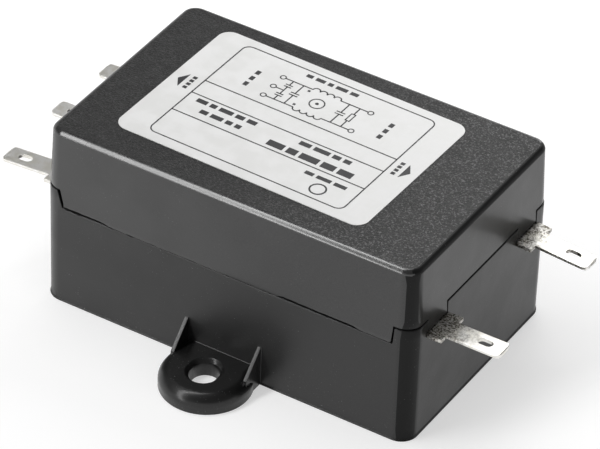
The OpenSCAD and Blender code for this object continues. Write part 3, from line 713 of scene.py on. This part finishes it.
def word_rows(p):
    """Rows of plain blocks in place of words: start, level, height and the block lengths."""
    rows = [
        (-4.2, 9.75, 0.62, (0.9, 1.3, 0.7, 1.6, 1.1)),
        (-12.2, -2.2, 0.75, (1.5, 0.9, 1.9, 1.2, 1.3)),
        (2.6, -2.2, 0.75, (1.6, 2.2, 1.1, 1.0)),
        (-10.6, -3.9, 0.75, (1.1, 1.7, 0.9, 0.8)),
        (-0.6, -4.3, 1.1, (2.3, 1.4, 2.6, 1.9, 2.0)),
        (6.3, -6.7, 0.62, (1.2, 2.0, 1.7)),
    ]
    gap = 0.45
    for x, y, height, lengths in rows:
        for length in lengths:
            p.bar(x + length / 2, y, length, height)
            x += length + gap
    for x, y, lengths in ((-9.3, 3.6, (0.8, 0.8, 0.8)), (9.7, 3.9, (0.8, 0.8, 0.8))):
        for length in lengths:
            p.bar(x, y + length / 2, 0.6, length)
            y += length + 0.55
    for s in (-1, 1):
        for k in range(4):
            p.bar(s * 14.9, -0.9 + 0.75 * k, 0.55, 0.5)
    p.circle((9.4, -8.7), 1.0, 0.22)


def printed_label():
    """The label's sheet with its ink, turned and set on the cover."""
    p = Print()
    p.plate(round_outline(*LABEL_SIZE, LABEL_CORNER), LABEL_LOW, SHEET_TOP, 0)
    frame_lines(p)
    arrows(p)
    schematic(p)
    word_rows(p)
    points = np.vstack(p.points)
    turn = math.radians(LABEL_TURN)
    x = points[:, 0] * math.cos(turn) - points[:, 1] * math.sin(turn) + LABEL_PLACE[0]
    y = points[:, 0] * math.sin(turn) + points[:, 1] * math.cos(turn) + LABEL_PLACE[1]
    data = bpy.data.meshes.new("printed_label")
    data.from_pydata((np.column_stack([x, y, points[:, 2]]) * MM).tolist(), [], p.faces)
    data.materials.append(FILM)
    data.materials.append(INK)
    data.polygons.foreach_set("material_index", p.inks)
    data.update()
    link_piece("printed_label", data, "label")


printed_label()


# ---------------------------------------------------------------- studio


def make_floor():
    """A pale floor that shows white, and keeps the shadow of what stands on it."""
    half = 3.0
    data = bpy.data.meshes.new("floor")
    data.from_pydata(
        [(-half, -half, 0), (half, -half, 0), (half, half, 0), (-half, half, 0)], [], [(0, 1, 2, 3)]
    )
    floor = bpy.data.objects.new("floor", data)
    SCENE.collection.objects.link(floor)
    s = Shader("pale_floor")
    tone = s.span(s.noise(60.0), 0.3, 0.7, 0.0, 1.0)
    s.finish(s.blend(tone, (0.62, 0.62, 0.62), (0.64, 0.64, 0.64)), 0.9, Specular_IOR_Level=0.0)
    rays = s.node("ShaderNodeLightPath")
    seen = s.sum("MAXIMUM", rays.outputs["Is Camera Ray"], rays.outputs["Is Glossy Ray"])
    seen = s.sum("MAXIMUM", seen, rays.outputs["Is Transmission Ray"])
    s.join((1, 1, 1, 1), s.main.inputs["Emission Color"])
    s.join(s.sum("MULTIPLY", seen, FLOOR_LIFT), s.main.inputs["Emission Strength"])
    data.materials.append(s.material)


def make_world():
    """White low down, where it is seen, greyer overhead, and a plain level for what it lights."""
    world = bpy.data.worlds.new("studio")
    SCENE.world = world
    world.use_nodes = True
    tree = world.node_tree
    tree.nodes.clear()
    out = tree.nodes.new("ShaderNodeOutputWorld")
    rays = tree.nodes.new("ShaderNodeLightPath")
    seen = rays.outputs["Is Camera Ray"]
    for kind in ("Is Glossy Ray", "Is Transmission Ray"):
        either = tree.nodes.new("ShaderNodeMath")
        either.operation = "MAXIMUM"
        tree.links.new(seen, either.inputs[0])
        tree.links.new(rays.outputs[kind], either.inputs[1])
        seen = either.outputs[0]
    split = tree.nodes.new("ShaderNodeSeparateXYZ")
    tree.links.new(tree.nodes.new("ShaderNodeTexCoord").outputs["Generated"], split.inputs[0])
    height = tree.nodes.new("ShaderNodeMapRange")
    tree.links.new(split.outputs[2], height.inputs[0])
    for k, value in zip(range(1, 5), (*WORLD_FADE, 1.0, WORLD_OVERHEAD)):
        height.inputs[k].default_value = value
    levels = []
    for strength in (WORLD_LIGHT, 1.0):
        level = tree.nodes.new("ShaderNodeBackground")
        level.inputs["Color"].default_value = (1, 1, 1, 1)
        level.inputs["Strength"].default_value = strength
        levels.append(level)
    tree.links.new(height.outputs[0], levels[1].inputs["Strength"])
    mix = tree.nodes.new("ShaderNodeMixShader")
    tree.links.new(seen, mix.inputs[0])
    tree.links.new(levels[0].outputs[0], mix.inputs[1])
    tree.links.new(levels[1].outputs[0], mix.inputs[2])
    tree.links.new(mix.outputs[0], out.inputs[0])


def make_lamp(name, azimuth, elevation, turn, distance, size, watts):
    """A soft box that faces the case: azimuth is measured from +X, and turn about its own axis,
    in degrees."""
    a, e, t = math.radians(azimuth), math.radians(elevation), math.radians(turn)
    back = np.array([math.cos(a) * math.cos(e), math.sin(a) * math.cos(e), math.sin(e)])
    level = np.array([-math.sin(a), math.cos(a), 0.0])
    upright = np.cross(back, level)
    side = math.cos(t) * level + math.sin(t) * upright
    rise = math.cos(t) * upright - math.sin(t) * level
    data = bpy.data.lights.new(name, "AREA")
    data.shape = "RECTANGLE"
    data.size, data.size_y = size
    data.energy = watts
    lamp = bpy.data.objects.new(name, data)
    place = back * distance + np.array([0, 0, 0.015])
    columns = np.column_stack([side, rise, back, place])
    lamp.matrix_world = Matrix(np.vstack([columns, [0, 0, 0, 1]]).tolist())
    lamp.visible_camera = False
    SCENE.collection.objects.link(lamp)


# Strength of the light from all round; the heights of direction between which the white that
# is seen fades, and what it fades to; how much the seen floor is lifted towards white
WORLD_LIGHT = 0.3
WORLD_FADE = (0.08, 0.4)
WORLD_OVERHEAD = 0.2
FLOOR_LIFT = 0.5

# Each lamp: name, azimuth, elevation and turn in degrees, distance and size in metres, watts
LAMPS = [
    ("key", 228.0, 48.0, 28.0, 0.45, (0.07, 1.3), 2.3),
    ("back", 95.0, 44.0, 0.0, 0.147, (0.1, 0.12), 0.09),
]

make_floor()
make_world()
for lamp in LAMPS:
    make_lamp(*lamp)

SCENE.view_settings.view_transform = "Standard"
